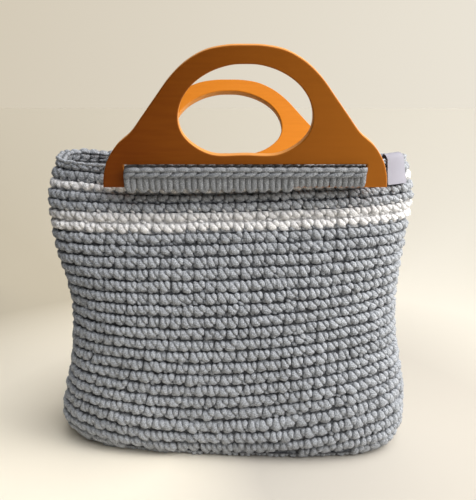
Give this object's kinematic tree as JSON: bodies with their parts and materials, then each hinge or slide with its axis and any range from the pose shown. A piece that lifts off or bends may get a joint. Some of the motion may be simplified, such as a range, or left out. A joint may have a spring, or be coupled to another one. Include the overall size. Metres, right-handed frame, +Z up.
{
  "type": "crochet bag",
  "caption": "Standing crocheted cord bag with an open top, pale stripes below the rim and arched wooden handles held in crocheted sleeves.",
  "frame": {"origin": "middle of the flat underside of the base", "axes": "+Z up, +X to the right as seen from the front, -Y out of the front of the bag"},
  "size_m": [0.333, 0.1881, 0.3618],
  "materials": {
    "grey_cord": "matte knitted cord",
    "white_cord": "matte knitted cord",
    "varnished_wood": "satin varnish",
    "white_satin": "satin"
  },
  "bodies": {
    "root": {"base_panel": "grey_cord", "main_wall": "grey_cord", "white_stripe": "white_cord", "upper_band": "grey_cord", "white_line": "white_cord", "rim": "grey_cord", "front_sleeve": "grey_cord", "back_sleeve": "grey_cord", "front_handle": "varnished_wood", "back_handle": "varnished_wood", "side_label": "white_satin"}
  },
  "joints": []
}
